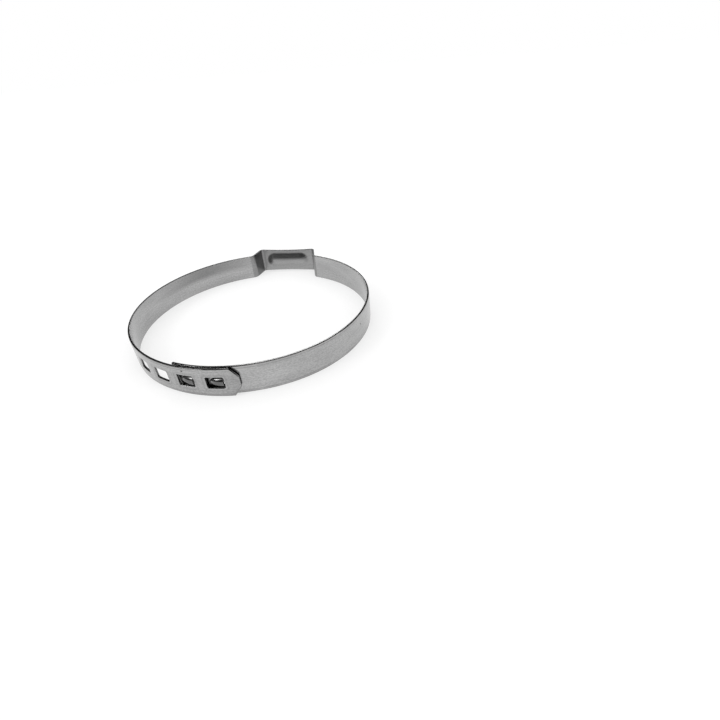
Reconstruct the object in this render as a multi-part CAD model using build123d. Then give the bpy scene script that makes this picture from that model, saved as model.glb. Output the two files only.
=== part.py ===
from build123d import *
from math import atan2, cos, degrees, radians, sin, sqrt, tan
import os

# Single-ear hose clamp: one strip of stainless steel rolled into a ring and hooked onto itself.
# Z is the axis of the hose, z = 0 is the lower edge of the band, and +Y runs through the ear.
# Angles are in degrees from +X, anticlockwise seen from above. Lengths are in millimetres.

# Strip
band_width = 10.0
strip_thickness = 0.8
bore_radius = 42.0
edge_roll_width = 0.7  # of the faint slope along both outer edges, measured across the band
edge_roll_depth = 0.08

# Pinch ear, measured inside its hollow
ear_height = 5.4  # from the circle of the bore to the crest, on the ear's axis
ear_crest_width = 24.0  # between the two crest corners
ear_leg_lean = 12.0  # of each leg from the ear's axis, so that the ear is wider at its foot
ear_foot_bend = 2.0  # radius inside the bend from ring to leg
ear_crest_bend = 0.9  # radius inside the bend from leg to crest

# Stiffening bead pressed into the crest of the ear, towards the hose
bead_length = 17.6  # of the groove outside
bead_radius = 4.0
bead_depth = 1.1
crest_waist = 0.3  # by which pressing the bead draws in each edge of the crest

# Lap, where the outer end of the strip lies over the inner end
lap_gap = 0.45
outer_end_angle = 281.8
nose_chamfer_along = 2.4
nose_chamfer_across = 3.1

# Windows in the outer layer
window_count = 4
window_length = 5.7
window_width = 4.0
window_corner = 0.5
window_rim = 0.2  # radius of the rolled-over outer edge
window_pitch = 9.75
window_to_nose = 4.7

# Hooks drawn out of the inner layer, each bearing on the nose side of a window
hook_count = 2
hook_length = 4.6
hook_width = 3.4
hook_wall = 0.7
hook_stands_proud = 0.4  # of the outer layer
hook_clearance = 0.15
hook_to_inner_end = 2.4

# Radii and heights that follow from the sizes above
ring_outer_radius = bore_radius + strip_thickness
lap_inner_radius = ring_outer_radius + lap_gap
lap_outer_radius = lap_inner_radius + strip_thickness
spread_radius = (bore_radius + lap_inner_radius) / 2
spread_outer_radius = spread_radius + strip_thickness
crest_inside = bore_radius + ear_height
crest_outside = crest_inside + strip_thickness
half_width = band_width / 2
past = 1.0  # how far a cutting tool runs past what it cuts
match = 0.001  # within which two radii are the same


def back_from_nose(distance):
    """Angle at a distance back from the outer end, measured along the outside of the lap."""
    return outer_end_angle - degrees(distance / lap_outer_radius)


window_angles = [back_from_nose(window_to_nose + n * window_pitch) for n in range(window_count)]
hook_angles = [angle - degrees(hook_clearance / lap_outer_radius) for angle in window_angles[:hook_count]]
inner_end_angle = hook_angles[-1] - degrees((hook_length + hook_to_inner_end) / ring_outer_radius)


def plan_point(angle, radius):
    """Point of the plan at an angle and a distance from the axis of the hose."""
    return Vector(radius * cos(radians(angle)), radius * sin(radians(angle)))


def band_plane(angle, radius):
    """Work plane on the band: X along the strip, Y across it, Z away from the hose."""
    origin = plan_point(angle, radius) + Vector(0, 0, half_width)
    return Plane(origin=origin, x_dir=plan_point(angle + 90, 1), z_dir=plan_point(angle, 1))


def leg_foot(crest, side, centre, radius):
    """Where the line of an ear's leg, drawn down from its crest corner, meets a round of the ring."""
    down = Vector(side * sin(radians(ear_leg_lean)), -cos(radians(ear_leg_lean)))
    along = (centre - crest).dot(down)
    off_line = (centre - crest - down * along).length
    return crest + down * (along - sqrt(radius**2 - off_line**2))


def strip_line(offset):
    """Line of the strip at an offset outwards from its inside face, from its inner to its outer end."""
    axis = Vector(0, 0)
    ring_radius = bore_radius + offset
    # From the ear to the lap the strip is one arc that drifts outwards, to pass over the inner end
    spread_centre = plan_point(inner_end_angle, lap_inner_radius - spread_radius)
    spread = spread_radius + offset
    half_crest = ear_crest_width / 2 + offset * tan(radians(90 - ear_leg_lean) / 2)
    right_crest = Vector(half_crest, crest_inside + offset)
    left_crest = Vector(-half_crest, crest_inside + offset)
    right_foot = leg_foot(right_crest, 1, axis, ring_radius)
    left_foot = leg_foot(left_crest, -1, spread_centre, spread)
    right_angle = degrees(atan2(right_foot.Y, right_foot.X)) + 360
    left_angle = degrees(atan2(left_foot.Y - spread_centre.Y, left_foot.X - spread_centre.X))
    line = Wire(
        [
            CenterArc(axis, ring_radius, inner_end_angle, right_angle - inner_end_angle),
            Line(right_foot, right_crest),
            Line(right_crest, left_crest),
            Line(left_crest, left_foot),
            CenterArc(spread_centre, spread, left_angle, inner_end_angle - left_angle),
            CenterArc(axis, lap_inner_radius + offset, inner_end_angle, outer_end_angle - inner_end_angle),
        ]
    )
    foot_bend = ear_foot_bend + strip_thickness - offset
    crest_bend = ear_crest_bend + offset
    for corner, bend in (
        (right_foot, foot_bend),
        (right_crest, crest_bend),
        (left_crest, crest_bend),
        (left_foot, foot_bend),
    ):
        line = line.fillet_2d(bend, [line.vertices().sort_by_distance(corner)[0]])
    return line


def rolled_strip():
    """The plain strip bent to its final line: the ring, the ear, and the lap over the inner end."""
    inside = strip_line(0)
    outside = strip_line(strip_thickness)
    inner_end = Line(inside @ 0, outside @ 0)
    outer_end = Line(inside @ 1, outside @ 1)
    outline = Wire(inside.edges() + outside.edges() + [inner_end, outer_end])
    strip = extrude(Face(outline), band_width, dir=(0, 0, 1))
    for level in (Vector(0, 0, 0), Vector(0, 0, band_width)):
        slit_face = strip.faces().filter_by(Plane.XY).sort_by_distance(level)[0]
        rims = [strip.edges().sort_by_distance(edge @ 0.5 + level)[0] for edge in outside.edges()]
        strip = strip.chamfer(edge_roll_depth, edge_roll_width, rims, slit_face)
    return strip


def bead_rod(radius):
    """Round-ended rod along the crest of the ear, whose lower side gives the bead its form."""
    half_groove = sqrt(bead_radius**2 - (bead_radius - bead_depth) ** 2)
    straight = bead_length - 2 * half_groove
    rod = Rot(0, 90, 0) * Cylinder(radius, straight)
    rod += Pos(straight / 2, 0, 0) * Sphere(radius)
    rod += Pos(-straight / 2, 0, 0) * Sphere(radius)
    return Pos(0, crest_outside + bead_radius - bead_depth, half_width) * rod


def with_bead(strip):
    """Presses the bead into the crest of the ear at the strip's own thickness, and draws in its edges."""
    half_crest_flat = ear_crest_width / 2 - ear_crest_bend
    pressed = bead_rod(bead_radius + strip_thickness)
    below_crest = Pos(0, crest_inside, 0) * Box(
        ear_crest_width, ear_height, band_width, align=(Align.CENTER, Align.MAX, Align.MIN)
    )
    strip = strip + (pressed & below_crest) - bead_rod(bead_radius)
    for level, inwards in ((0, 1), (band_width, -1)):
        waist = make_face(
            [
                ThreePointArc(
                    (-half_crest_flat, level), (0, level + inwards * crest_waist), (half_crest_flat, level)
                ),
                Polyline(
                    (half_crest_flat, level),
                    (half_crest_flat, level - inwards * past),
                    (-half_crest_flat, level - inwards * past),
                    (-half_crest_flat, level),
                ),
            ]
        )
        strip -= extrude(Plane.XZ.offset(-crest_outside - past) * waist, ear_height, dir=(0, -1, 0))
    return strip


def nose_clip(side):
    """Tool that takes one corner off the outer end: side is 1 at the top and -1 at the bottom."""
    plane = band_plane(outer_end_angle, lap_inner_radius - lap_gap / 2)
    corner = Vector(0, side * half_width)
    far = Vector(past, side * past)
    start = corner - Vector(nose_chamfer_along, 0)
    stop = corner - Vector(0, side * nose_chamfer_across)
    beside = start + Vector(0, side * past)
    beyond = stop + Vector(past, 0)
    outline = Polyline(start, stop, beyond, corner + far, beside, close=True)
    return extrude(plane * make_face(outline), strip_thickness + lap_gap + past)


def window(angle):
    """Tool for one window of the outer layer, its nose side at an angle."""
    plane = band_plane(angle, lap_inner_radius - lap_gap / 2)
    outline = Pos(-window_length / 2, 0) * RectangleRounded(window_length, window_width, window_corner)
    return extrude(plane * outline, strip_thickness + lap_gap + past)


def with_windows(band):
    """Pierces the windows through the outer layer, and rolls over their outer edges."""
    for angle in window_angles:
        band -= window(angle)
    rims = []
    for face in band.faces().filter_by(GeomType.CYLINDER):
        if min(abs(face.radius - lap_outer_radius), abs(face.radius - spread_outer_radius)) < match:
            rims += face.inner_wires().edges()
    return fillet(rims, window_rim)


def half_egg(length, radius):
    """Egg about X, cut at X = 0 to a round open face and tapering to its toe at -length."""
    curve = EllipticalCenterArc((0, 0), length, radius, 90, arc_size=90)
    profile = make_face([curve, Line((-length, 0), (0, 0)), Line((0, 0), (0, radius))])
    return revolve(profile, Axis.X, 360)


def hook_metal(angle):
    """Outside of one hook, standing on the inner layer with its open face at an angle."""
    egg_radius = hook_width / 2
    axis_radius = lap_outer_radius + hook_stands_proud - egg_radius
    foot = ring_outer_radius - strip_thickness / 2 - axis_radius
    above_foot = Pos(0, 0, foot) * Box(
        2 * hook_length, hook_width, 2 * hook_width, align=(Align.CENTER, Align.CENTER, Align.MIN)
    )
    return band_plane(angle, axis_radius) * (half_egg(hook_length, egg_radius) & above_foot)


def hook_hollow(angle):
    """Hollow of one hook, open at its face and through the inner layer to the hose."""
    axis_radius = lap_outer_radius + hook_stands_proud - hook_width / 2
    length = hook_length - hook_wall
    radius = hook_width / 2 - hook_wall
    curve = EllipticalCenterArc((0, 0), length, radius, 90, arc_size=180)
    plan = make_face([curve, Line((0, -radius), (0, radius))])
    well = extrude(plan, axis_radius - bore_radius + past, dir=(0, 0, -1))
    return band_plane(angle, axis_radius) * (half_egg(length, radius) + well)


def clamp_band():
    """The whole clamp, in the order in which it is made: bent, beaded, clipped, pierced, lanced."""
    band = with_bead(rolled_strip())
    for side in (-1, 1):
        band -= nose_clip(side)
    band = with_windows(band)
    for angle in hook_angles:
        band += hook_metal(angle)
    for angle in hook_angles:
        band -= hook_hollow(angle)
    return band


os.makedirs("parts", exist_ok=True)

export_step(clamp_band(), "parts/clamp_band.step")
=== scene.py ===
import bmesh
import bpy
import math
from mathutils import Matrix, Vector


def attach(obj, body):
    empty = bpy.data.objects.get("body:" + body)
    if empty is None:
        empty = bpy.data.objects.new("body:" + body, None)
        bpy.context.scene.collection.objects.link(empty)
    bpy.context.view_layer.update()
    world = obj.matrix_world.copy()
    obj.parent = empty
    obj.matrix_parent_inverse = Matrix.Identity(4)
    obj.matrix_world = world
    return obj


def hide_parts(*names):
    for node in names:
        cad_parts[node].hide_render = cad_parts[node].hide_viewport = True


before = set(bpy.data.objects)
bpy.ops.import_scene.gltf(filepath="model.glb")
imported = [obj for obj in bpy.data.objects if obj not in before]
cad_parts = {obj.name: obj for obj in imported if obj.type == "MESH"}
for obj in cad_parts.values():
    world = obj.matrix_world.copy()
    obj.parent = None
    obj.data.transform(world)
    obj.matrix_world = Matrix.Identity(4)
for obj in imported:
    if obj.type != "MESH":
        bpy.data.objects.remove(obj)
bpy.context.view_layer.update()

mm = 0.001


def linear(hexColour):
    # sRGB hex to the linear colour that shaders take
    channels = [int(hexColour[i:i + 2], 16) / 255 for i in (1, 3, 5)]
    return [c / 12.92 if c <= 0.04045 else ((c + 0.055) / 1.055) ** 2.4 for c in channels] + [1.0]


def addNode(tree, kind, inputs=None, links=None, **settings):
    # one node, its settings, its fixed inputs and what is plugged into it
    node = tree.nodes.new(kind)
    for name, value in settings.items():
        setattr(node, name, value)
    for name, value in (inputs or {}).items():
        node.inputs[name].default_value = value
    for name, source in (links or {}).items():
        tree.links.new(source, node.inputs[name])
    return node


mixShare, mixFrom, mixTo, mixed = 0, 6, 7, 2  # sockets of a Mix node that mixes colours


def newMaterial(name):
    material = bpy.data.materials.new(name)
    material.use_nodes = True
    material.node_tree.nodes.clear()
    return material, material.node_tree


# The strip, all in mm and degrees. Angles run anticlockwise from +X, the ear is at +Y
clampPlan = {
    "bandWidth": 10.0,
    "thickness": 0.8,
    "boreRadius": 42.0,
    "rollWidth": 0.7,  # faint slope along both outer edges
    "rollDepth": 0.08,
    "lapGap": 0.45,
    "noseAngle": 281.8,
    "noseAlong": 2.4,
    "noseAcross": 3.1,
    "innerEndAngle": 253.441,
    "step": 1.0,  # longest mesh edge along the plain strip
    "middle": 4.0,  # half of the middle band, which holds windows and hooks
    "acrossSteps": 24,  # over the middle band
    "alongSteps": 16,  # over the length of a window or a hook
    "edgeLevels": (4.25, 4.35, 4.6),  # mesh lines beyond the middle band, up to the round
    "roundSteps": 4,
    "slitRound": 0.15,  # both slit edges are deburred to a small round
    "cutRound": 0.07,  # windows, hooks and strip ends keep a sharper one
    "keepIn": 0.006,  # holds the faces just inside the solid that they stand for
}

innerOfLap = clampPlan["boreRadius"] + clampPlan["thickness"] + clampPlan["lapGap"]
spreadRadius = (clampPlan["boreRadius"] + innerOfLap) / 2
halfThick = clampPlan["thickness"] / 2
halfWidth = clampPlan["bandWidth"] / 2


def heading(angle):
    return Vector((math.cos(math.radians(angle)), math.sin(math.radians(angle))))


def angleOf(vector):
    return math.degrees(math.atan2(vector.y, vector.x)) % 360


spreadCentre = heading(clampPlan["innerEndAngle"]) * (innerOfLap - spreadRadius)


def arcPiece(centre, radius, start, sweep, grow=1):
    # grow is 1 where the hollow side faces the hose, -1 where it faces away
    middle = radius + grow * halfThick
    return {
        "length": math.radians(abs(sweep)) * middle,
        "turn": abs(sweep),
        "arc": (centre, middle, start, sweep),
        "at": lambda f, h: centre + heading(start + sweep * f) * (radius + grow * h),
    }


def linePiece(start, end, normal, step=None):
    return {
        "length": (end - start).length,
        "turn": 0,
        "step": step,
        "at": lambda f, h: start.lerp(end, f) + normal * h,
    }


earPlan = {
    "height": 5.4,  # of the crest over the circle of the bore
    "crestWidth": 24.0,
    "legLean": 12.0,  # degrees
    "footBend": 2.0,
    "crestBend": 0.9,
    "beadLength": 17.6,
    "beadRadius": 4.0,
    "beadDepth": 1.1,
    "beadEase": 0.8,  # softness of the line where the bead leaves the crest
    "waist": 0.3,  # by which pressing the bead draws in each edge
    "step": 0.35,  # longest mesh edge along the crest
}


def earSide(side, centre, radius):
    # crest corner, leg and foot of one side, and the angle at which the foot meets the ring
    lean = earPlan["legLean"]
    crest = Vector((side * earPlan["crestWidth"] / 2, clampPlan["boreRadius"] + earPlan["height"]))
    away = heading(lean) if side > 0 else heading(180 - lean)
    down = Vector((side * math.sin(math.radians(lean)), -math.cos(math.radians(lean))))
    footRadius = earPlan["footBend"] + clampPlan["thickness"]
    offset = crest + away * footRadius - centre
    b = offset.dot(down)
    drop = -b - math.sqrt(b * b - offset.length_squared + (radius + footRadius) ** 2)
    footCentre = crest + away * footRadius + down * drop
    footAngle = angleOf(footCentre - centre)
    cut = earPlan["crestBend"] * math.tan(math.radians((90 - lean) / 2))
    cornerCentre = crest + down * cut - away * earPlan["crestBend"]
    return {
        "footAngle": footAngle,
        "foot": (footCentre, footRadius, footAngle + 180, angleOf(-away)),
        "leg": (footCentre - away * footRadius, crest + down * cut, away),
        "corner": (cornerCentre, earPlan["crestBend"], angleOf(away)),
        "crest": crest - Vector((side * cut, 0)),
    }


def stripPieces():
    # arcs and lines of the strip's inside face, from the inner end round to the nose
    start = clampPlan["innerEndAngle"]
    bore = clampPlan["boreRadius"]
    right = earSide(1, Vector((0, 0)), bore)
    left = earSide(-1, spreadCentre, spreadRadius)
    rightFoot, leftFoot = right["foot"], left["foot"]
    turn = 90 - earPlan["legLean"]
    legStart, legEnd, away = right["leg"]
    otherStart, otherEnd, otherAway = left["leg"]
    return {
        "ring": arcPiece(Vector((0, 0)), bore, start, right["footAngle"] + 360 - start),
        "rightFoot": arcPiece(rightFoot[0], rightFoot[1], rightFoot[2], rightFoot[3] - rightFoot[2], grow=-1),
        "rightLeg": linePiece(legStart, legEnd, away),
        "rightCorner": arcPiece(right["corner"][0], right["corner"][1], right["corner"][2], turn),
        "crest": linePiece(right["crest"], left["crest"], Vector((0, 1)), earPlan["step"]),
        "leftCorner": arcPiece(left["corner"][0], left["corner"][1], 90, turn),
        "leftLeg": linePiece(otherEnd, otherStart, otherAway),
        "leftFoot": arcPiece(leftFoot[0], leftFoot[1], leftFoot[3], leftFoot[2] - leftFoot[3], grow=-1),
        "spread": arcPiece(spreadCentre, spreadRadius, left["footAngle"], start - left["footAngle"]),
        "lap": arcPiece(Vector((0, 0)), innerOfLap, start, clampPlan["noseAngle"] - start),
    }


pieces = stripPieces()
stripLength = 0
for piece in pieces.values():
    piece["start"] = stripLength
    stripLength += piece["length"]
crestMiddle = pieces["crest"]["start"] + pieces["crest"]["length"] / 2


def stripPlace(along, height):
    # point of the bent strip at a length along it and a height over its inside face
    for piece in pieces.values():
        if along <= piece["start"] + piece["length"] + 1e-9:
            break
    return piece["at"]((along - piece["start"]) / piece["length"], height)


def lengthAt(angle, name):
    # length along the strip at which one of its arcs stands at an angle from the hose's axis
    centre, radius, start, sweep = pieces[name]["arc"]
    ray = heading(angle)
    b = ray.dot(centre)
    point = ray * (b + math.sqrt(b * b - centre.length_squared + radius ** 2))
    share = (angleOf(point - centre) - start) % 360 / sweep
    return pieces[name]["start"] + share * pieces[name]["length"]


def groove(along, across, wall):
    # depth of the bead on one face, with its rim eased so that it leaves the crest in a soft line
    radius, below = earPlan["beadRadius"] + wall, earPlan["beadRadius"] - earPlan["beadDepth"] + wall
    rim = math.sqrt(earPlan["beadRadius"] ** 2 - (earPlan["beadRadius"] - earPlan["beadDepth"]) ** 2)
    past = max(0, abs(along - crestMiddle) - (earPlan["beadLength"] / 2 - rim))
    away = min(math.hypot(past, across), radius)
    depth = math.sqrt(radius ** 2 - away ** 2) - below
    ease = earPlan["beadEase"]
    if abs(depth) < ease:
        return (depth + ease) ** 2 / (4 * ease)
    return max(0, depth)


def bend(along, across, height):
    # a place on the flat strip (mm along, across and up from the inside face) to metres in the clamp
    top = height / clampPlan["thickness"]
    inFromEdge = halfWidth - abs(across)
    if inFromEdge < clampPlan["rollWidth"]:
        height -= clampPlan["rollDepth"] * (1 - inFromEdge / clampPlan["rollWidth"]) * top
    fromCrest = abs(along - crestMiddle) / (pieces["crest"]["length"] / 2)
    if fromCrest < 1:
        height -= groove(along, across, 0) * top + groove(along, across, clampPlan["thickness"]) * (1 - top)
        across *= 1 - earPlan["waist"] * (1 - fromCrest ** 2) / halfWidth
    intoNose = along - (stripLength - clampPlan["noseAlong"])
    if intoNose > 0:
        across *= 1 - clampPlan["noseAcross"] * intoNose / clampPlan["noseAlong"] / halfWidth
    height -= clampPlan["keepIn"] * top
    across *= 1 - clampPlan["keepIn"] / halfWidth
    flat = stripPlace(along, height)
    return Vector((flat.x, flat.y, halfWidth + across)) * mm


def spacedLevels():
    # mesh lines across the middle band
    steps = clampPlan["acrossSteps"]
    return [clampPlan["middle"] * (2 * i / steps - 1) for i in range(steps + 1)]


def slitProfile():
    # places (across, height) over the upper slit edge: outer face, round, sheared wall, round, inside face
    thick, radius, steps = clampPlan["thickness"], clampPlan["slitRound"], clampPlan["roundSteps"]
    turns = [math.pi / 2 * i / steps for i in range(steps + 1)]
    levels = [clampPlan["middle"], *clampPlan["edgeLevels"], halfWidth - radius]
    over = [(halfWidth - radius + radius * math.sin(a), thick - radius + radius * math.cos(a)) for a in turns]
    under = [(halfWidth - radius + radius * math.cos(a), radius - radius * math.sin(a)) for a in turns]
    return (
        ([(v, thick) for v in levels], 0),
        (over, 0),
        ([over[-1], under[0]], 1),
        (under, 0),
        ([(v, 0) for v in reversed(levels)], 0),
    )


def cellRim(low, high):
    # loop round a stretch of the middle band, from its lower nose-side corner anticlockwise
    middle = spacedLevels()
    steps = clampPlan["alongSteps"]
    stations = [low + (high - low) * i / steps for i in range(steps + 1)]
    top, bottom = middle[-1], middle[0]
    loop = [(high, v) for v in middle[:-1]] + [(s, top) for s in reversed(stations[1:])]
    return loop + [(low, v) for v in reversed(middle[1:])] + [(s, bottom) for s in stations[:-1]]


windowPlan = {
    "angles": (275.686, 263.004, 250.322, 237.640),  # of each nose side
    "length": 5.7,
    "width": 4.0,
    "corner": 0.5,
    "rim": 0.2,  # radius of the rolled-over edge
    "rimTurns": (30, 60, 90),  # degrees, of its mesh lines
    "dish": 0.05,  # how far punching drags the face down round a window
    # mm out from the edge, then shares of the dip and of the painted shade there
    "dishLines": ((1.0, 0, 0.6), (0.8, 0.1, 1), (0.6, 0.45, 0.7), (0.42, 0.85, 0)),
    "rimHighlight": -0.4,  # share of the painted shade at the rim; below zero it is a painted highlight, brighter than plain strip
    "insideLines": (0.15, 0.5, 1.0),
    "margin": 1.55,  # of the cell of faces round it
    "cornerSteps": 4,
}


def roundedLoop(centre, grown):
    # window outline, grown outwards, with as many points as the rim of its cell
    corner = windowPlan["corner"] + grown
    reach = (windowPlan["length"] / 2 + grown, windowPlan["width"] / 2 + grown)
    counts = (clampPlan["acrossSteps"], clampPlan["alongSteps"])
    turns = windowPlan["cornerSteps"]
    loop = []
    for side in range(4):
        out, run, count = reach[side % 2], reach[1 - side % 2], counts[side % 2]
        for i in range(count):
            last = i - count + turns
            if i < turns:
                local = Vector((out - corner, corner - run)) + heading(-45 + 45 * i / turns) * corner
            elif last <= 0:
                local = Vector((out, (run - corner) * (2 * (i - turns) / (count - 2 * turns) - 1)))
            else:
                local = Vector((out - corner, run - corner)) + heading(45 * last / turns) * corner
            turned = Matrix.Rotation(math.radians(90 * side), 2) @ local
            loop.append((centre + turned.x, turned.y))
    return loop


hookPlan = {
    "angles": (275.491, 262.809),  # of each open end
    "length": 4.6,
    "width": 3.4,
    "wall": 0.7,
    "crest": 1.65,  # above the face of the inner layer
    "hollowCrest": 0.95,
    "margin": 1.15,
    "ribs": 16,  # mesh steps over the back
    "loops": (0, 0.3, 0.6, 0.85, 1),  # from the cell's rim in to the foot
}


def hookLoop(face, length, half, flatHalf):
    # half ellipse open towards the nose. Its straight side is split where the hollow's walls stand
    steps = clampPlan["acrossSteps"]
    quarter = steps // 4
    straight = []
    for i in range(steps):
        if i < quarter:
            straight.append((face, -half + (half - flatHalf) * i / quarter))
        elif i <= steps - quarter:
            straight.append((face, flatHalf * (2 * (i - quarter) / (steps - 2 * quarter) - 1)))
        else:
            straight.append((face, flatHalf + (half - flatHalf) * (i - steps + quarter) / quarter))
    return straight + [(face - length * math.sin(a), half * math.cos(a)) for a in curveAngles()[:-1]]


def curveAngles():
    count = clampPlan["acrossSteps"] + 2 * clampPlan["alongSteps"]
    return [math.pi * i / count for i in range(count + 1)]


shadeAndDullPlan = {  # how much darker each part is painted, from 0 for plain strip to 1. Round the hooks and windows, on the ear and on the inside face this is painted shade
    # painted shade over the upper part of each hook's back
    "hookTopShade": 0.8,
    "hookRise": (0.1875, 0.8125),  # shares of its height, from no painted shade to full
    "hookWellShade": 0.8,  # painted shade round each hook's foot, in the recess under the outer layer's window
    "ring": 0.2,  # painted shade round each window, on the dish that punching dragged down
    "crest": (0.18, 0.13),  # painted shade, darker towards the upper edge; the second number is added roughness
    # painted shade on the ear's corners, legs and feet; the second numbers are added roughness
    "corners": (0.35, 0.15),
    "legs": (0.7, 0.1),
    "feet": (0.35, 0.1),
    "nose": 0.22,
    "noseFade": 7.0,  # mm
    "shade": 0.5,  # painted shade on a stretch of the inside face, in its upper half
    "shadeAngle": 138,
    "shadeReach": 19.0,  # mm along the strip
    "shadeFrom": (-0.6, 1.4),  # mm above the middle, from plain to dull
}


def earPart(along):
    # which part of the ear holds a place along the strip
    fromMiddle = abs(along - crestMiddle)
    reach = pieces["crest"]["length"] / 2
    for part, following in (("crest", "rightCorner"), ("corners", "rightLeg"), ("legs", "rightFoot")):
        if fromMiddle < reach:
            return part
        reach += pieces[following]["length"]
    return "feet"


def shadeAndDullAt(along, across, height):
    # how much darker the strip is painted and how much rougher. Bending coarsens the inside of the ear, which
    # adds roughness; its darkening there, on the hooks and on the inside face is painted shade
    thick = clampPlan["thickness"]
    # on a hook's back: painted shade, darker towards its top
    if height > thick:
        low, high = shadeAndDullPlan["hookRise"]
        rise = (height - thick) / hookPlan["crest"]
        return shadeAndDullPlan["hookTopShade"] * max(0, min(1, (rise - low) / (high - low))), 0
    inside = 1 - height / thick
    if pieces["rightFoot"]["start"] < along < pieces["spread"]["start"]:
        part = earPart(along)
        shadeAndDull, rough = shadeAndDullPlan[part]
        upper = 1 + across / halfWidth if part == "crest" else 1
        return shadeAndDull * inside * upper, rough * inside
    fromShade = (along - lengthAt(shadeAndDullPlan["shadeAngle"], "spread")) / shadeAndDullPlan["shadeReach"]
    low, high = shadeAndDullPlan["shadeFrom"]
    upper = max(0, min(1, (across - low) / (high - low)))
    shade = shadeAndDullPlan["shade"] * math.exp(-fromShade ** 2) * upper * inside
    nose = max(0, 1 - (stripLength - along) / shadeAndDullPlan["noseFade"]) * shadeAndDullPlan["nose"]
    return nose + shade, 0


class Skin:
    # gathers patches of faces. Patches share their borders, which are welded at the end

    def __init__(self):
        self.mesh = bmesh.new()
        self.place = self.mesh.verts.layers.float_vector.new("stripPlace")
        # darkening that the steel's material reads, mostly painted shade
        self.shadeAndDull = self.mesh.verts.layers.float.new("shadeAndDull")
        self.rough = self.mesh.verts.layers.float.new("rough")

    def patch(self, rows, closed=False, slot=0, shadedAndDulled=()):
        # the last argument adds darkening row by row: painted shade round windows and hooks, and a painted
        # highlight on window rims
        made = []
        for i, row in enumerate(rows):
            verts = []
            for along, across, height in row:
                vert = self.mesh.verts.new(bend(along, across, height))
                vert[self.place] = (along, across, height)
                shadeAndDull, rough = shadeAndDullAt(along, across, height)
                vert[self.shadeAndDull] = shadeAndDull + (shadedAndDulled[i] if shadedAndDulled else 0)
                vert[self.rough] = rough
                verts.append(vert)
            made.append(verts)
        count = len(rows[0])
        for low, high in zip(made, made[1:]):
            for i in range(count if closed else count - 1):
                j = (i + 1) % count
                face = self.mesh.faces.new((low[i], low[j], high[j], high[i]))
                face.material_index = slot
                face.smooth = True


def atHeight(loop, height):
    return [(s, v, height) for s, v in loop]


def between(loop, other, f):
    return [(a[0] + (b[0] - a[0]) * f, a[1] + (b[1] - a[1]) * f) for a, b in zip(loop, other)]


def buildWindow(skin, nose):
    # the face round one window dips a little, rolls over its rim, and goes through to the inside face
    thick, dish, roll = clampPlan["thickness"], windowPlan["dish"], windowPlan["rim"]
    centre = nose - windowPlan["length"] / 2
    cell = cellRim(centre - windowPlan["length"] / 2 - windowPlan["margin"], nose + windowPlan["margin"])
    hole = roundedLoop(centre, 0)
    halfway = between(cell, roundedLoop(centre, windowPlan["dishLines"][0][0]), 0.5)
    rows = [atHeight(cell, thick), atHeight(halfway, thick)]
    shadedAndDulled = [0, 0]
    # the dish gets painted shade and the rim a painted highlight
    for grown, dip, shadeAndDull in (*windowPlan["dishLines"], (roll, 1, windowPlan["rimHighlight"])):
        rows.append(atHeight(roundedLoop(centre, grown), thick - dish * dip))
        shadedAndDulled.append(shadeAndDull * shadeAndDullPlan["ring"])
    for angle in windowPlan["rimTurns"]:
        out = roll * (1 - math.sin(math.radians(angle)))
        down = dish + roll * (1 - math.cos(math.radians(angle)))
        rows.append(atHeight(roundedLoop(centre, out), thick - down))
        shadedAndDulled.append(0)
    skin.patch(rows, closed=True, shadedAndDulled=shadedAndDulled)
    skin.patch([atHeight(hole, thick - dish - roll), atHeight(hole, 0)], closed=True, slot=1)
    inner = [hole] + [roundedLoop(centre, grown) for grown in windowPlan["insideLines"]] + [halfway, cell]
    skin.patch([atHeight(loop, 0) for loop in inner], closed=True)


def buildHook(skin, face):
    # a half egg drawn out of the strip, hollow, with its open sheared end towards the nose
    thick = clampPlan["thickness"]
    length, half, wall = hookPlan["length"], hookPlan["width"] / 2, hookPlan["wall"]
    hollowLength, hollowHalf = length - wall, half - wall
    crest, hollowCrest = hookPlan["crest"], hookPlan["hollowCrest"]
    cell = cellRim(face - length - hookPlan["margin"], face + hookPlan["margin"])
    foot = hookLoop(face, length, half, hollowHalf)
    well = hookLoop(face, hollowLength, hollowHalf, hollowHalf)
    loops = hookPlan["loops"]
    # painted shade on the strip round the hook's foot, down in the window
    wellShade = [shadeAndDullPlan["hookWellShade"] * min(1, 1.5 * f) for f in loops[:-1]] + [0]
    skin.patch([atHeight(between(cell, foot, f), thick) for f in loops], closed=True, shadedAndDulled=wellShade)
    skin.patch([atHeight(between(cell, well, f), 0) for f in loops], closed=True)

    angles = curveAngles()
    ups = [math.pi * i / hookPlan["ribs"] for i in range(hookPlan["ribs"] + 1)]
    for reach, side, top, slot in ((length, half, crest, 0), (hollowLength, hollowHalf, hollowCrest, 1)):
        rows = []  # arches from the open end back to the foot
        for a in angles[:len(angles) // 2 + 1]:
            wide, high = side * math.cos(a), top * math.cos(a)
            along = face - reach * math.sin(a)
            rows.append([(along, wide * math.cos(up), thick + high * math.sin(up)) for up in ups])
        skin.patch(rows, slot=slot)

    quarter = clampPlan["acrossSteps"] // 4
    rows = []  # the sheared end, from the outer arch in to the hollow's
    for k in range(quarter + 1):
        side = half + (hollowHalf - half) * k / quarter
        top = crest + (hollowCrest - crest) * k / quarter
        rows.append([(face, side * math.cos(up), thick + top * math.sin(up)) for up in ups])
    skin.patch(rows, slot=1)

    curve = [(face - hollowLength * math.sin(a), hollowHalf * math.cos(a)) for a in angles]
    steps = clampPlan["acrossSteps"] - 2 * quarter
    straight = [(face, hollowHalf * (2 * i / steps - 1)) for i in range(steps + 1)]
    for wallLine in (curve, straight):
        skin.patch([atHeight(wallLine, thick), atHeight(wallLine, 0)], slot=1)


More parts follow.
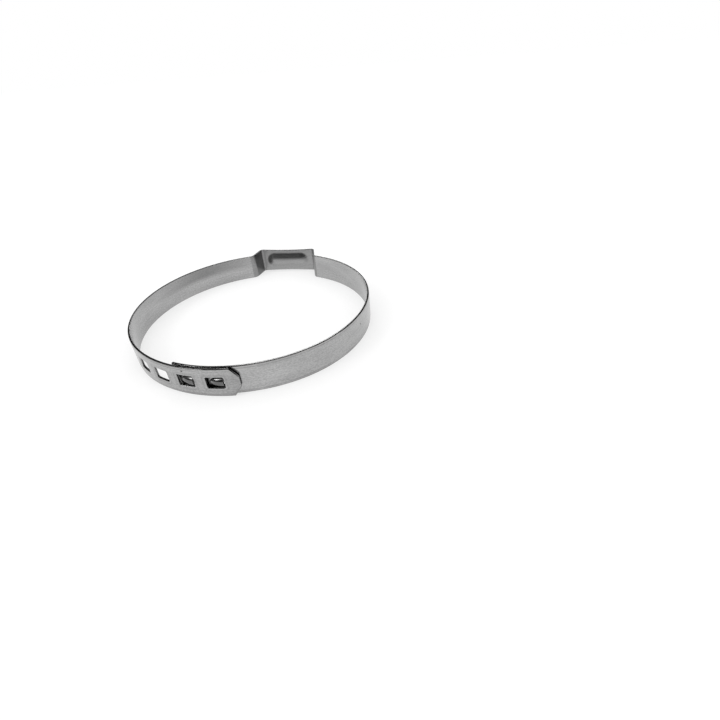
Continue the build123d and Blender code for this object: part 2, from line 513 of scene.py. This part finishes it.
def cellStretches():
    # stretches of the strip that hold a hook or a window: low end, high end, nose-side edge, maker
    stretches = []
    for angle in hookPlan["angles"]:
        face = lengthAt(angle, "ring")
        low = face - hookPlan["length"] - hookPlan["margin"]
        stretches.append((low, face + hookPlan["margin"], face, buildHook))
    for angle in windowPlan["angles"]:
        nose = lengthAt(angle, "lap" if angle > clampPlan["innerEndAngle"] else "spread")
        low = nose - (windowPlan["length"] + windowPlan["margin"])
        stretches.append((low, nose + windowPlan["margin"], nose, buildWindow))
    return stretches


def plainStations(low, high):
    # mesh lines of a plain stretch, closer where the strip bends or is pressed
    middle = (low + high) / 2
    for piece in pieces.values():
        if middle <= piece["start"] + piece["length"]:
            break
    turn = piece["turn"] * (high - low) / piece["length"]
    step = piece.get("step") or clampPlan["step"]
    count = max(1, math.ceil((high - low) / step), math.ceil(turn / 7))
    return [low + (high - low) * i / count for i in range(count + 1)]


def buildBand():
    skin = Skin()
    middle = spacedLevels()
    thick = clampPlan["thickness"]
    cells = cellStretches()
    breaks = {0.0, stripLength, stripLength - clampPlan["noseAlong"]}
    breaks |= {piece["start"] for piece in pieces.values()}
    breaks |= {end for cell in cells for end in cell[:2]}
    breaks = sorted(breaks)
    stations = [0.0]
    for low, high in zip(breaks, breaks[1:]):
        cell = next((c for c in cells if abs(c[0] - low) < 1e-9), None)
        if cell:
            steps = clampPlan["alongSteps"]
            here = [low + (high - low) * i / steps for i in range(steps + 1)]
            edge, build = cell[2:]
            build(skin, edge)
        else:
            here = plainStations(low, high)
            for height in (0, thick):
                skin.patch([[(s, v, height) for v in middle] for s in here])
        stations += here[1:]
    for side in (-1, 1):
        for profile, slot in slitProfile():
            skin.patch([[(s, side * v, height) for v, height in profile] for s in stations], slot=slot)
    bmesh.ops.remove_doubles(skin.mesh, verts=skin.mesh.verts, dist=2e-6)
    bmesh.ops.dissolve_degenerate(skin.mesh, edges=skin.mesh.edges, dist=1e-6)
    rims = [edge for edge in skin.mesh.edges if len(edge.link_faces) == 1]
    for face in bmesh.ops.holes_fill(skin.mesh, edges=rims)["faces"]:  # the two cropped ends
        face.material_index = 1
    bmesh.ops.recalc_face_normals(skin.mesh, faces=skin.mesh.faces)
    roundEdges(skin, [(low, face) for low, high, face, build in cells if build is buildHook])
    print("open edges:", sum(1 for edge in skin.mesh.edges if len(edge.link_faces) != 2))
    mesh = bpy.data.meshes.new("clampBand")
    skin.mesh.to_mesh(mesh)
    skin.mesh.free()
    band = bpy.data.objects.new("clampBand", mesh)
    bpy.context.scene.collection.objects.link(band)
    rounding = band.modifiers.new("edgeRound", "BEVEL")
    rounding.width = clampPlan["cutRound"] * mm
    rounding.segments = 2
    rounding.limit_method = "WEIGHT"
    rounding.harden_normals = True
    return band


def roundEdges(skin, hookReaches):
    # sheared edges get a small round, and the foot of each hook stays a plain crease
    weights = skin.mesh.edges.layers.float.new("bevel_weight_edge")
    for edge in skin.mesh.edges:
        if len(edge.link_faces) != 2 or edge.calc_face_angle() < math.radians(40):
            continue
        onHook = any(
            low < vert[skin.place].x < face - 0.01 and abs(vert[skin.place].y) < clampPlan["middle"]
            for low, face in hookReaches for vert in edge.verts
        )
        if onHook:
            edge.smooth = False
        else:
            edge[weights] = 1


# Cold rolled stainless strip, degreased: a satin face that blurs what it mirrors, drawn out along the strip
satinSteel = {
    "colour": "#bbbbbb",
    "darkColour": "#959595",
    "tones": (0.72, 1.28),  # of the summed patterns, from dark to light
    "edgeHighlight": "#c8c8c8",
    "highlightWidth": 0.25,  # mm, of the painted highlight along edges
    "roughness": (0.17, 0.26),
    "lineLength": 16.0,  # mm, of the rolling lines
    "lineWidth": 0.3,  # mm. Real ones are 0.02 mm and too fine to show, so these are drawn coarser
    "grain": (0.72, 0.45),  # mm along and across, of the mottle that the rolls leave
    "blotch": (19.5, 5.2),
    "relief": 0.12,  # strength of 0.01 mm deep lines and mottle
    "rollShadeLines": ((4.2, 0.24, 0.42), (4.82, 0.2, 0.8)),  # mm from the middle, half width, depth of the painted shade
    "rollBreaks": 7.0,  # mm
    # colours of the painted shade
    "shadeAndDull": "#505050",
    "shadeColour": "#3c3b39",
    # small dimples, shown only by painted shade
    "specks": ((259.1, "lap", 3.7, 0.42), (344.1, "ring", 1.4, 0.42)),  # angle, arc, mm up, radius
}


def dimpleShadeMask(tree, place):
    # painted shade of small dimples on the outer face, 1 at the middle of each
    masks = []
    for angle, name, above, radius in satinSteel["specks"]:
        spot = (lengthAt(angle, name), above, clampPlan["thickness"])
        gap = addNode(tree, "ShaderNodeVectorMath", {1: spot}, {0: place}, operation="DISTANCE")
        mask = addNode(tree, "ShaderNodeMapRange", {
            "From Min": radius * 0.3, "From Max": radius, "To Min": 1.0, "To Max": 0.0,
        }, {"Value": gap.outputs["Value"]}, interpolation_type="SMOOTHSTEP")
        masks.append(mask.outputs["Result"])
    both = addNode(tree, "ShaderNodeMath", links={0: masks[0], 1: masks[1]}, operation="MAXIMUM")
    return both.outputs["Value"]


def rollShadeLines(tree, place):
    # painted shade: dark lines where the slope along each outer edge starts and ends, broken up along the
    # strip
    parts = addNode(tree, "ShaderNodeSeparateXYZ", links={"Vector": place})
    across = addNode(tree, "ShaderNodeMath", links={0: parts.outputs["Y"]}, operation="ABSOLUTE")
    lines = []
    for where, half, depth in satinSteel["rollShadeLines"]:
        gap = addNode(tree, "ShaderNodeMath", {1: where}, {0: across.outputs["Value"]}, operation="SUBTRACT")
        gap = addNode(tree, "ShaderNodeMath", links={0: gap.outputs["Value"]}, operation="ABSOLUTE")
        line = addNode(tree, "ShaderNodeMapRange", {
            "From Min": 0.0, "From Max": half, "To Min": depth, "To Max": 0.0,
        }, {"Value": gap.outputs["Value"]})
        lines.append(line.outputs["Result"])
    shown = addNode(tree, "ShaderNodeMath", links={0: lines[0], 1: lines[1]}, operation="MAXIMUM")
    outside = addNode(tree, "ShaderNodeMapRange", {"From Min": 0.4, "From Max": 0.6}, {
        "Value": parts.outputs["Z"],
    })
    patchy = addNode(tree, "ShaderNodeTexNoise", {"Scale": 1.0, "Detail": 1.0}, {
        "Vector": stretched(tree, place, satinSteel["rollBreaks"], satinSteel["rollBreaks"]),
    })
    breaks = addNode(tree, "ShaderNodeMapRange", {"From Min": 0.35, "From Max": 0.55, "To Min": 0.4}, {
        "Value": patchy.outputs["Fac"],
    })
    for mask in (outside, breaks):
        shown = addNode(tree, "ShaderNodeMath", links={
            0: shown.outputs["Value"], 1: mask.outputs["Result"],
        }, operation="MULTIPLY")
    return shown.outputs["Value"]


def edgeMask(tree):
    # 1 where the surface turns sharply, where the edges get a painted highlight
    shape = addNode(tree, "ShaderNodeNewGeometry")
    soft = addNode(tree, "ShaderNodeBevel", {"Radius": satinSteel["highlightWidth"] * mm}, samples=6)
    match = addNode(tree, "ShaderNodeVectorMath", links={
        0: soft.outputs["Normal"], 1: shape.outputs["Normal"],
    }, operation="DOT_PRODUCT")
    return addNode(tree, "ShaderNodeMapRange", {
        "From Min": 0.98, "From Max": 0.8, "To Min": 0.0, "To Max": 1.0,
    }, {"Value": match.outputs["Value"]}).outputs["Result"]


def stretched(tree, place, along, across):
    # the strip's own coordinates divided by a length along it and a width across it
    return addNode(tree, "ShaderNodeVectorMath", {
        1: (1 / along, 1 / across, 1 / across),
    }, {0: place}, operation="MULTIPLY").outputs["Vector"]


def coldRolledStainless():
    material, tree = newMaterial("coldRolledStainless")
    place = addNode(tree, "ShaderNodeAttribute", attribute_name="stripPlace").outputs["Vector"]
    lines = addNode(tree, "ShaderNodeTexNoise", {"Scale": 1.0, "Detail": 4.0, "Roughness": 0.6}, {
        "Vector": stretched(tree, place, satinSteel["lineLength"], satinSteel["lineWidth"]),
    }).outputs["Fac"]
    grain = addNode(tree, "ShaderNodeTexNoise", {"Scale": 1.0, "Detail": 3.0, "Roughness": 0.7}, {
        "Vector": stretched(tree, place, *satinSteel["grain"]),
    }).outputs["Fac"]
    blotch = addNode(tree, "ShaderNodeTexNoise", {"Scale": 1.0, "Detail": 2.0}, {
        "Vector": stretched(tree, place, *satinSteel["blotch"]),
    }).outputs["Fac"]
    both = addNode(tree, "ShaderNodeMath", {1: 0.5}, {0: lines, 2: grain}, operation="MULTIPLY_ADD")
    tone = addNode(tree, "ShaderNodeMath", {1: 0.5}, {
        0: blotch, 2: both.outputs["Value"],
    }, operation="MULTIPLY_ADD")
    dark, light = satinSteel["tones"]
    ramp = addNode(tree, "ShaderNodeMapRange", {"From Min": dark, "From Max": light}, {
        "Value": tone.outputs["Value"],
    })
    metal = addNode(tree, "ShaderNodeMix", {
        mixFrom: linear(satinSteel["darkColour"]), mixTo: linear(satinSteel["colour"]),
    }, {mixShare: ramp.outputs["Result"]}, data_type="RGBA")
    shadeAndDull = addNode(tree, "ShaderNodeAttribute", attribute_name="shadeAndDull").outputs["Fac"]
    # the first mix is a painted highlight along edges; the others darken: painted shade from the mesh, along
    # the edge slope's bends and in small dimples
    for share, colour in (
        (edgeMask(tree), "edgeHighlight"),
        (shadeAndDull, "shadeAndDull"),
        (rollShadeLines(tree, place), "shadeColour"),
        (dimpleShadeMask(tree, place), "shadeColour"),
    ):
        metal = addNode(tree, "ShaderNodeMix", {mixTo: linear(satinSteel[colour])}, {
            mixShare: share, mixFrom: metal.outputs[mixed],
        }, data_type="RGBA")
    low, high = satinSteel["roughness"]
    satin = addNode(tree, "ShaderNodeMapRange", {
        "From Min": 0.3, "From Max": 0.7, "To Min": low, "To Max": high,
    }, {"Value": lines})
    coarse = addNode(tree, "ShaderNodeAttribute", attribute_name="rough").outputs["Fac"]
    rough = addNode(tree, "ShaderNodeMath", links={0: satin.outputs["Result"], 1: coarse}, operation="ADD")
    bump = addNode(tree, "ShaderNodeBump", {"Strength": satinSteel["relief"], "Distance": 0.01 * mm}, {
        "Height": both.outputs["Value"],
    })
    shader = addNode(tree, "ShaderNodeBsdfPrincipled", {"Metallic": 1.0}, {
        "Base Color": metal.outputs[mixed],
        "Roughness": rough.outputs["Value"],
        "Normal": bump.outputs["Normal"],
    })
    addNode(tree, "ShaderNodeOutputMaterial", links={"Surface": shader.outputs["BSDF"]})
    return material


# Slit and pierced edges of the same steel: a burnished band, then a rougher, torn and duller one
shearedSteel = {
    "burnished": "#9c9c9c",
    "torn": "#727272",
    "drag": (0.35, 1.2),  # mm along and across, of the marks that the tool drags through the cut
    "wander": 0.15,  # mm, of the line between the two bands
    "tornDepth": (0.28, 0.42),  # mm from the inside face
    "roughness": (0.14, 0.34),  # burnished, torn
    "relief": 0.1,  # strength of 0.02 mm deep drag marks
}


def shearedEdge():
    material, tree = newMaterial("shearedStainless")
    place = addNode(tree, "ShaderNodeAttribute", attribute_name="stripPlace").outputs["Vector"]
    drag = addNode(tree, "ShaderNodeTexNoise", {"Scale": 1.0, "Detail": 3.0, "Roughness": 0.6}, {
        "Vector": stretched(tree, place, *shearedSteel["drag"]),
    }).outputs["Fac"]
    deep = addNode(tree, "ShaderNodeSeparateXYZ", links={"Vector": place}).outputs["Z"]
    wavy = addNode(tree, "ShaderNodeMath", {1: shearedSteel["wander"]}, {
        0: drag, 2: deep,
    }, operation="MULTIPLY_ADD")
    low, high = shearedSteel["tornDepth"]
    cut = addNode(tree, "ShaderNodeMapRange", {"From Min": low, "From Max": high}, {
        "Value": wavy.outputs["Value"],
    })
    colour = addNode(tree, "ShaderNodeMix", {
        mixFrom: linear(shearedSteel["torn"]), mixTo: linear(shearedSteel["burnished"]),
    }, {mixShare: cut.outputs["Result"]}, data_type="RGBA")
    smooth, torn = shearedSteel["roughness"]
    rough = addNode(tree, "ShaderNodeMapRange", {"To Min": torn, "To Max": smooth}, {
        "Value": cut.outputs["Result"],
    })
    bump = addNode(tree, "ShaderNodeBump", {"Strength": shearedSteel["relief"], "Distance": 0.02 * mm}, {
        "Height": drag,
    })
    shader = addNode(tree, "ShaderNodeBsdfPrincipled", {"Metallic": 1.0}, {
        "Base Color": colour.outputs[mixed],
        "Roughness": rough.outputs["Result"],
        "Normal": bump.outputs["Normal"],
    })
    addNode(tree, "ShaderNodeOutputMaterial", links={"Surface": shader.outputs["BSDF"]})
    return material


band = buildBand()
band.data.materials.append(coldRolledStainless())
band.data.materials.append(shearedEdge())
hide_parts("clamp_band")
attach(band, "root")
print("band built:", len(band.data.polygons), "faces")


# White table with dark cloth hung over it, and lit cards that the metal mirrors
studio = {
    "floorColour": "#ffffff",
    "floorSize": 6000,  # mm
    "floorGlow": 0.6,  # share of the table's white that no shadow reaches
    "skyLight": 1.0,
    "panel": {"angle": 110.6, "width": 17, "rise": (26, 36), "strength": 5.0},  # degrees, from the clamp
    "sideLight": {"angle": 214, "width": 22, "rise": (33, 49), "strength": 6.0},
    "cardDistance": 1500,  # mm, of the two upright cards
    "softBox": {"height": 1500, "size": 500, "strength": 3.0},  # mm, level, over the clamp
}


def stageCard(name, corners, strength):
    # a flat lit card that only the light and the metal see
    mesh = bpy.data.meshes.new(name)
    mesh.from_pydata(corners, [], [(0, 1, 2, 3)])
    card = bpy.data.objects.new(name, mesh)
    bpy.context.scene.collection.objects.link(card)
    card.visible_camera = False
    material, tree = newMaterial(name)
    glow = addNode(tree, "ShaderNodeEmission", {"Strength": strength})
    addNode(tree, "ShaderNodeOutputMaterial", links={"Surface": glow.outputs["Emission"]})
    mesh.materials.append(material)


def seenRay(tree):
    # 1 for the camera and for what metal and glass show
    path = addNode(tree, "ShaderNodeLightPath")
    seen = path.outputs["Is Camera Ray"]
    for kind in ("Is Glossy Ray", "Is Transmission Ray"):
        either = addNode(tree, "ShaderNodeMath", links={0: seen, 1: path.outputs[kind]}, operation="MAXIMUM")
        seen = either.outputs["Value"]
    return seen


def levelSquare(size, height):
    half, up = size / 2 * mm, height * mm
    return [(-half, -half, up), (half, -half, up), (half, half, up), (-half, half, up)]


def buildFloor():
    mesh = bpy.data.meshes.new("floor")
    mesh.from_pydata(levelSquare(studio["floorSize"], 0), [], [(0, 1, 2, 3)])
    floor = bpy.data.objects.new("floor", mesh)
    bpy.context.scene.collection.objects.link(floor)
    material, tree = newMaterial("paintedTable")
    paint = addNode(tree, "ShaderNodeBsdfDiffuse", {"Color": linear(studio["floorColour"])})
    glow = addNode(tree, "ShaderNodeEmission", {"Strength": 1.0})
    share = addNode(tree, "ShaderNodeMath", {1: studio["floorGlow"]}, {
        0: seenRay(tree),
    }, operation="MULTIPLY")
    mix = addNode(tree, "ShaderNodeMixShader", links={
        0: share.outputs["Value"], 1: paint.outputs["BSDF"], 2: glow.outputs["Emission"],
    })
    addNode(tree, "ShaderNodeOutputMaterial", links={"Surface": mix.outputs["Shader"]})
    mesh.materials.append(material)


def uprightCard(name):
    # a card round the clamp, given by what it fills of the view from there
    card = studio[name]
    away = studio["cardDistance"] * mm
    low, high = (away * math.tan(math.radians(edge)) for edge in card["rise"])
    middle = heading(card["angle"]) * away
    side = heading(card["angle"] + 90) * away * math.tan(math.radians(card["width"] / 2))
    left, right = middle + side, middle - side
    stageCard(name, [(*right, low), (*left, low), (*left, high), (*right, high)], card["strength"])


def buildCards():
    uprightCard("panel")
    uprightCard("sideLight")
    box = studio["softBox"]
    stageCard("softBox", levelSquare(box["size"], box["height"]), box["strength"])


canopyPlan = {
    "radius": 2700,  # mm
    "edge": 5,  # degrees above the table, with white below
    "lowest": 0.4,  # brightness that the cloth would have at the height of the table
    "overhead": 0.03,
    "fade": 0.22,  # share of the radius over which it darkens
}


def buildCanopy():
    # dark cloth hung over the table, which only the metal mirrors
    radius = canopyPlan["radius"] * mm
    skin = bmesh.new()
    bmesh.ops.create_uvsphere(skin, u_segments=48, v_segments=72, radius=radius)
    low = radius * math.sin(math.radians(canopyPlan["edge"])) - 1 * mm
    bmesh.ops.delete(skin, geom=[vert for vert in skin.verts if vert.co.z < low], context="VERTS")
    mesh = bpy.data.meshes.new("canopy")
    skin.to_mesh(mesh)
    skin.free()
    canopy = bpy.data.objects.new("canopy", mesh)
    bpy.context.scene.collection.objects.link(canopy)
    canopy.visible_camera = canopy.visible_diffuse = canopy.visible_shadow = False
    material, tree = newMaterial("darkCloth")
    place = addNode(tree, "ShaderNodeTexCoord").outputs["Object"]
    rise = addNode(tree, "ShaderNodeSeparateXYZ", links={"Vector": place}).outputs["Z"]
    level = addNode(tree, "ShaderNodeMapRange", {
        "From Min": 0.0, "From Max": canopyPlan["fade"] * radius,
        "To Min": canopyPlan["lowest"], "To Max": canopyPlan["overhead"],
    }, {"Value": rise})
    glow = addNode(tree, "ShaderNodeEmission", links={"Strength": level.outputs["Result"]})
    addNode(tree, "ShaderNodeOutputMaterial", links={"Surface": glow.outputs["Emission"]})
    mesh.materials.append(material)


def buildWorld():
    # white all round, which lights the table evenly
    world = bpy.data.worlds.new("studioWorld")
    bpy.context.scene.world = world
    world.use_nodes = True
    tree = world.node_tree
    tree.nodes.clear()
    white = addNode(tree, "ShaderNodeBackground", {"Color": (1, 1, 1, 1), "Strength": studio["skyLight"]})
    addNode(tree, "ShaderNodeOutputWorld", links={"Surface": white.outputs["Background"]})


# Lens position and aim in mm, in the part's own frame
cameraPlan = {
    "place": (61.55, -137.78, 82.41),
    "aim": (42.04, -24.03, 0.0),
    "roll": -4.70,
    "focalPixels": 434.38,
    "framePixels": 720,
    "sensor": 36.0,
}


def placeCamera():
    data = bpy.data.cameras.new("camera")
    data.sensor_width = cameraPlan["sensor"]
    data.lens = cameraPlan["focalPixels"] / cameraPlan["framePixels"] * cameraPlan["sensor"]
    data.clip_start = 1 * mm
    camera = bpy.data.objects.new("camera", data)
    bpy.context.scene.collection.objects.link(camera)
    place = Vector(cameraPlan["place"]) * mm
    aim = Vector(cameraPlan["aim"]) * mm
    turn = (aim - place).to_track_quat("-Z", "Y").to_matrix().to_4x4()
    roll = Matrix.Rotation(math.radians(cameraPlan["roll"]), 4, "Z")
    camera.matrix_world = Matrix.Translation(place) @ turn @ roll
    bpy.context.scene.camera = camera


buildFloor()
buildCards()
buildCanopy()
buildWorld()
placeCamera()
bpy.context.scene.view_settings.view_transform = "Standard"
print("studio ready")
